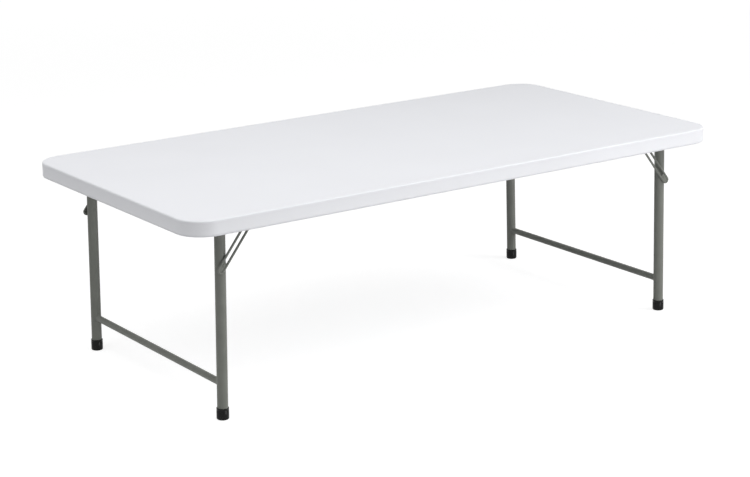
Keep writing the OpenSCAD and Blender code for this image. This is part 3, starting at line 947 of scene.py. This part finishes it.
def rounded_plate(shape, start, end, half, thickness, ease, hole=0.0):
    """A flat plate along X with round ends, eased edges and perhaps a hole at the origin."""
    outlines = []
    face = thickness / 2
    for inset, y in ((ease, -face), (0, ease - face), (0, face - ease), (ease, face)):
        h = half - inset
        a, b = math.atan2(h, end), math.atan2(h, start)
        side = [h / math.tan(a + (b - a) * i / 16) for i in range(1, 16)] if hole else []
        ring = arc((end, 0), h, -90, 90, 12) + [(x, h) for x in side]
        ring += arc((start, 0), h, 90, 270, 12) + [(x, -h) for x in reversed(side)]
        outlines.append([Vector((x, y, z)) for x, z in ring])
    if hole:
        low, high = (
            [Vector((p.x, 0, p.z)).normalized() * hole + Vector((0, y, 0)) for p in outline]
            for outline, y in ((outlines[1], -face), (outlines[-1], face))
        )
        skin_rings(shape, [low, *outlines, high], loop=True)
        return
    rows = skin_rings(shape, outlines)
    shape.faces.new(rows[0])
    shape.faces.new(rows[-1])


class KIDS_TABLE_OT_braces(bpy.types.Operator):
    """The rod braces: a closed loop, the plates welded in its ends, and their welds"""

    bl_idname = "kids_table.braces"
    bl_label = "Braces"

    def execute(self, context):
        s = context.scene.kids_table_steel
        loop, bead = loop_tree(), bead_tree()
        for corner in (f + side[0] for side in SIDES for f in FACES):
            pivot = Vector(JOINTS[f"brace_{corner}_turn"]["pos_m"])
            low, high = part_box("guide_pin_" + corner)
            pin = (low + high) / 2
            run = Vector((pin.x - pivot.x, 0, pin.z - pivot.z))
            reach = run.length
            shape = bmesh.new()
            grow(shape, bpy.data.meshes.new("nothing"), loop, {
                "Tail": s.brace_tail, "Reach": reach, "Rod Pitch": s.rod_pitch,
                "Rod Radius": s.rod / 2,
            })
            half = (s.rod_pitch - s.rod) / 2 + s.plate_bite
            plates = (-s.brace_tail, s.plate_reach), (reach - s.plate_reach, reach)
            # A stitch below the rivet's head, and one along the lug
            seams = [
                [Vector((start, y, z)), Vector((end, y, z))]
                for start, end in ((-s.brace_tail, -s.weld_clear), plates[1])
                for z in (-half, half) for y in (-s.plate / 2, s.plate / 2)
            ]
            sizes = {"Bead Radius": s.fine_bead, "Ripple Pitch": s.ripple}
            grow(shape, line_mesh(seams), bead, sizes)
            for ends, hole in zip(plates, (s.pivot_hole / 2, 0.0)):
                rounded_plate(shape, *ends, half, s.plate, s.plate_ease, hole)
            turn = Matrix.Rotation(math.atan2(-run.z, run.x), 4, "Y")
            shape.transform(Matrix.Translation(pivot) @ turn)
            nodes = [kind + corner for kind in ("brace_rod_", "pivot_plate_", "guide_lug_")]
            place_piece("brace_loop_" + corner, shape, "brace_" + corner, nodes)
        return {"FINISHED"}


def shown_white(tree):
    """1 for the rays in which the floor and the surroundings have to look white, else 0."""
    light = add(tree, "ShaderNodeLightPath").outputs
    seen = light["Is Camera Ray"]
    for other in ("Is Glossy Ray", "Is Transmission Ray"):
        seen = add(tree, MATH, {0: seen, 1: light[other]}, {"operation": "MAXIMUM"})
    return seen


WHITE = (1.0, 1.0, 1.0, 1.0)


def pale_floor():
    """Seamless paper: to the eye almost plain white, with a soft shadow on it."""
    material = bpy.data.materials.new("studio_paper")
    tree = empty_tree(material)
    paper = add(tree, "ShaderNodeBsdfDiffuse", {"Color": (*linear("#dadada"), 1.0)})
    half_lit = add(tree, "ShaderNodeBsdfDiffuse", {"Color": (*linear("#b4b4b4"), 1.0)})
    # The lamps don't reach the far paper, which glows more so that it's as white as the near
    place = add(tree, "ShaderNodeTexCoord").outputs["Object"]
    away = add(tree, "ShaderNodeVectorMath", {0: place}, {"operation": "LENGTH"}).outputs["Value"]
    strength = add(tree, "ShaderNodeMapRange", {
        "Value": away, "From Min": 1.8, "From Max": 6.0, "To Min": 0.80, "To Max": 0.90,
    })
    glow = add(tree, "ShaderNodeEmission", {"Color": WHITE, "Strength": strength})
    bright = add(tree, "ShaderNodeAddShader", {0: half_lit, 1: glow})
    mix = add(tree, "ShaderNodeMixShader", {0: shown_white(tree), 1: paper, 2: bright})
    add(tree, "ShaderNodeOutputMaterial", {"Surface": mix})
    return material


# The floor lies this much under the soles, so that no two faces are in one plane
FLOOR_DROP = 0.3 * MM
# Each lamp's place and the side of its square, and the point that all of them look at
LAMPS = {
    "key": ((-0.3, -1.1, 3.0), 2.4),
    "upper": ((-1.3, 0.3, 3.0), 2.0),
    "left": ((-3.0, -0.6, 2.4), 2.0),
    "front": ((0.9, -3.6, 0.45), 0.9),
    "right": ((2.4, -2.0, 2.4), 1.6),
}
LAMPS_AIM = (0, 0, 0.3)
# The camera's place, and its turn in degrees, fitted to the edges of the top in the photograph
CAMERA_PLACE = (-2.74437, -3.90189, 1.57483)
CAMERA_TURN = (74.336, 0.83, -35.106)


def soft_lamp(name, place, size, watts):
    """A square lamp that looks at the table's middle and isn't seen itself."""
    data = bpy.data.lights.new(name, "AREA")
    data.size = size
    data.energy = watts
    lamp = linked(name, data)
    lamp.location = place
    lamp.rotation_euler = (Vector(LAMPS_AIM) - Vector(place)).to_track_quat("-Z", "Y").to_euler()
    lamp.visible_camera = False


class KIDS_TABLE_OT_stage(bpy.types.Operator):
    """The pale floor, the soft lamps, the light from all round and the camera"""

    bl_idname = "kids_table.stage"
    bl_label = "Stage"

    def execute(self, context):
        s = context.scene.kids_table_stage
        half = s.floor_size / 2
        corners = [(-half, -half), (half, -half), (half, half), (-half, half)]
        mesh = bpy.data.meshes.new("floor")
        mesh.from_pydata([(x, y, -FLOOR_DROP) for x, y in corners], [], [(0, 1, 2, 3)])
        mesh.materials.append(pale_floor())
        floor = linked("floor", mesh)

        for name, (place, size) in LAMPS.items():
            soft_lamp(name + "_lamp", place, size, getattr(s, name))

        world = bpy.data.worlds.new("studio")
        tree = empty_tree(world)
        strength = add(tree, "ShaderNodeMapRange", {
            "Value": shown_white(tree), "To Min": s.ambient, "To Max": 1.0,
        })
        sky = add(tree, "ShaderNodeBackground", {"Color": WHITE, "Strength": strength})
        add(tree, "ShaderNodeOutputWorld", {"Surface": sky})
        context.scene.world = world
        context.scene.view_settings.view_transform = "Standard"

        data = bpy.data.cameras.new("camera")
        data.sensor_fit = "HORIZONTAL"
        data.sensor_width = 36.0
        data.lens = s.lens
        data.clip_end = 200.0
        camera = linked("camera", data)
        camera.location = CAMERA_PLACE
        camera.rotation_euler = [math.radians(a) for a in CAMERA_TURN]
        context.scene.camera = camera
        return {"FINISHED"}


OPERATORS = (
    KIDS_TABLE_OT_stage,
    KIDS_TABLE_OT_top_moulding,
    KIDS_TABLE_OT_pressed_steel,
    KIDS_TABLE_OT_screws,
    KIDS_TABLE_OT_frame_tubes,
    KIDS_TABLE_OT_weld_beads,
    KIDS_TABLE_OT_foot_caps,
    KIDS_TABLE_OT_tube_plugs,
    KIDS_TABLE_OT_rivets_and_pins,
    KIDS_TABLE_OT_braces,
)
SETTINGS = {
    "kids_table_top": KidsTableTop,
    "kids_table_steel": KidsTableSteel,
    "kids_table_fasteners": KidsTableFasteners,
    "kids_table_caps": KidsTableCaps,
    "kids_table_stage": KidsTableStage,
}


class KIDS_TABLE_PT_pieces(bpy.types.Panel):
    """Lists the table's pieces and the stage"""

    bl_label = "Folding kids table"
    bl_idname = "KIDS_TABLE_PT_pieces"
    bl_space_type = "VIEW_3D"
    bl_region_type = "UI"
    bl_category = "Kids table"

    def draw(self, context):
        for piece in OPERATORS:
            self.layout.operator(piece.bl_idname)
        for name, settings in SETTINGS.items():
            box = self.layout.box()
            for key in settings.__annotations__:
                box.prop(getattr(context.scene, name), key)


def register():
    for name, settings in SETTINGS.items():
        bpy.utils.register_class(settings)
        setattr(bpy.types.Scene, name, bpy.props.PointerProperty(type=settings))
    for piece in (*OPERATORS, KIDS_TABLE_PT_pieces):
        bpy.utils.register_class(piece)


def unregister():
    for piece in reversed((*OPERATORS, KIDS_TABLE_PT_pieces)):
        bpy.utils.unregister_class(piece)
    for name, settings in SETTINGS.items():
        delattr(bpy.types.Scene, name)
        bpy.utils.unregister_class(settings)


def main():
    register()
    for piece in OPERATORS:
        group, name = piece.bl_idname.split(".")
        getattr(getattr(bpy.ops, group), name)()


if __name__ == "__main__":
    main()
